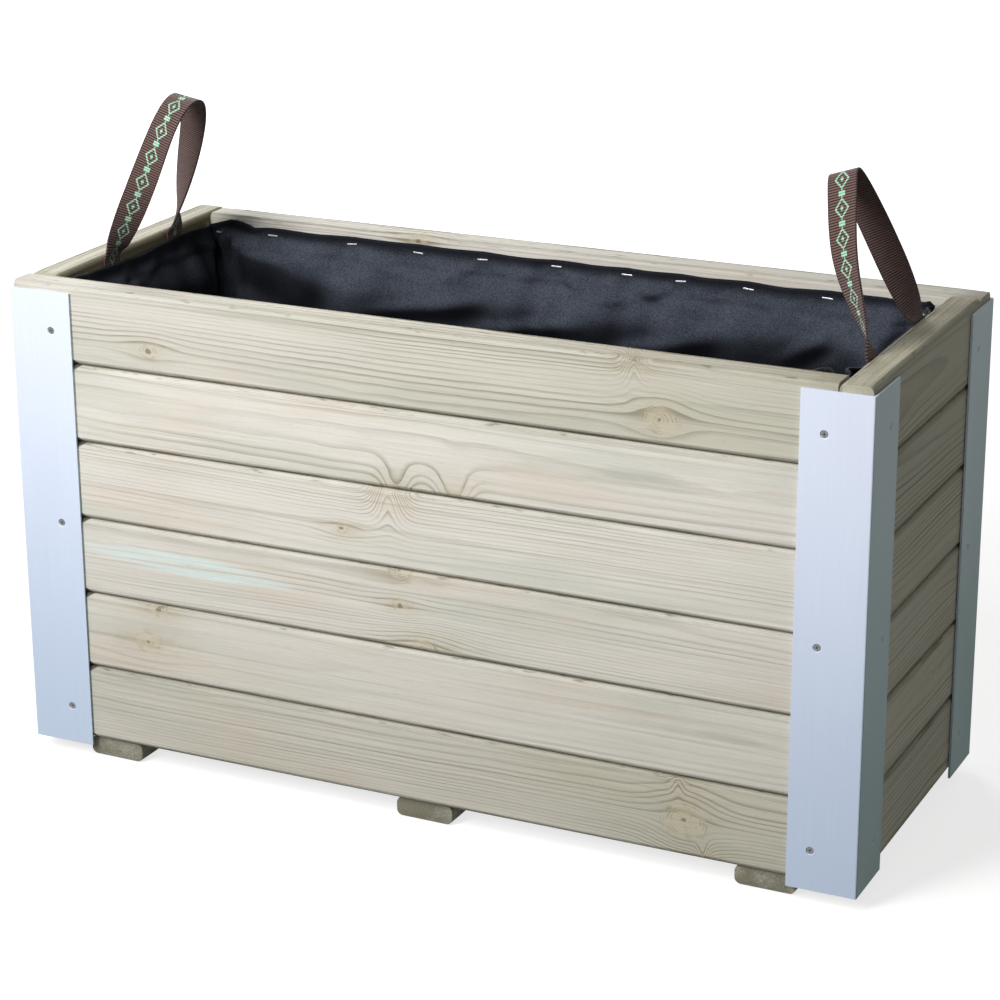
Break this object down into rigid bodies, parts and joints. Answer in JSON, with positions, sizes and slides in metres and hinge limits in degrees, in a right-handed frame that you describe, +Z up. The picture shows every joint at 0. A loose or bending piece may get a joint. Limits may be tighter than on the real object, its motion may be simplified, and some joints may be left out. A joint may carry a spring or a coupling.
{
  "type": "wooden planter",
  "caption": "Rectangular planter box of stacked timber boards with metal corner angles, cross bearers, a fabric liner and webbing loop handles at the ends.",
  "frame": {"origin": "on the ground, under the middle of the box in plan", "axes": "+X along the box towards its right end, +Y from the front wall to the back wall, +Z up"},
  "size_m": [0.7806, 0.3146, 0.5756],
  "materials": {
    "timber": "planed pressure-treated softwood, pale grey-green beige, matt",
    "bearer_timber": "rougher treated softwood, darker grey green",
    "corner_metal": "brushed along its length, satin",
    "screw_metal": "plain countersunk screw heads",
    "liner_fabric": "black non-woven fabric with a faint sheen",
    "webbing": "ribbed dark brown webbing"
  },
  "bodies": {
    "box": {"front_board_1": "timber", "front_board_2": "timber", "front_board_3": "timber", "front_board_4": "timber", "front_board_5": "timber", "front_board_6": "timber", "right_board_1": "timber", "right_board_2": "timber", "right_board_3": "timber", "right_board_4": "timber", "right_board_5": "timber", "right_board_6": "timber", "back_board_1": "timber", "back_board_2": "timber", "back_board_3": "timber", "back_board_4": "timber", "back_board_5": "timber", "back_board_6": "timber", "left_board_1": "timber", "left_board_2": "timber", "left_board_3": "timber", "left_board_4": "timber", "left_board_5": "timber", "left_board_6": "timber", "front_left_angle": "corner_metal", "front_right_angle": "corner_metal", "back_right_angle": "corner_metal", "back_left_angle": "corner_metal", "front_left_screw_near_1": "screw_metal", "front_left_screw_near_2": "screw_metal", "front_left_screw_near_3": "screw_metal", "front_left_screw_far_1": "screw_metal", "front_left_screw_far_2": "screw_metal", "front_left_screw_far_3": "screw_metal", "front_right_screw_near_1": "screw_metal", "front_right_screw_near_2": "screw_metal", "front_right_screw_near_3": "screw_metal", "front_right_screw_far_1": "screw_metal", "front_right_screw_far_2": "screw_metal", "front_right_screw_far_3": "screw_metal", "back_right_screw_near_1": "screw_metal", "back_right_screw_near_2": "screw_metal", "back_right_screw_near_3": "screw_metal", "back_right_screw_far_1": "screw_metal", "back_right_screw_far_2": "screw_metal", "back_right_screw_far_3": "screw_metal", "back_left_screw_near_1": "screw_metal", "back_left_screw_near_2": "screw_metal", "back_left_screw_near_3": "screw_metal", "back_left_screw_far_1": "screw_metal", "back_left_screw_far_2": "screw_metal", "back_left_screw_far_3": "screw_metal", "bearer_1": "bearer_timber", "bearer_2": "bearer_timber", "bearer_3": "bearer_timber", "floor_board_1": "bearer_timber", "floor_board_2": "bearer_timber", "liner": "liner_fabric"},
    "left_handle": {"left_handle": "webbing"},
    "right_handle": {"right_handle": "webbing"}
  },
  "joints": [
    {"name": "left_handle_fold", "type": "hinge", "parent": "box", "child": "left_handle", "pos_m": [-0.3589, 0, 0.434], "axis": [0, -1, 0], "range_deg": [-74, 26], "stiffness_Nm_per_rad": 0.05, "springref_deg": 1.15},
    {"name": "right_handle_fold", "type": "hinge", "parent": "box", "child": "right_handle", "pos_m": [0.3589, 0, 0.434], "axis": [0, 1, 0], "range_deg": [-74, 26], "stiffness_Nm_per_rad": 0.05, "springref_deg": 1.15}
  ]
}
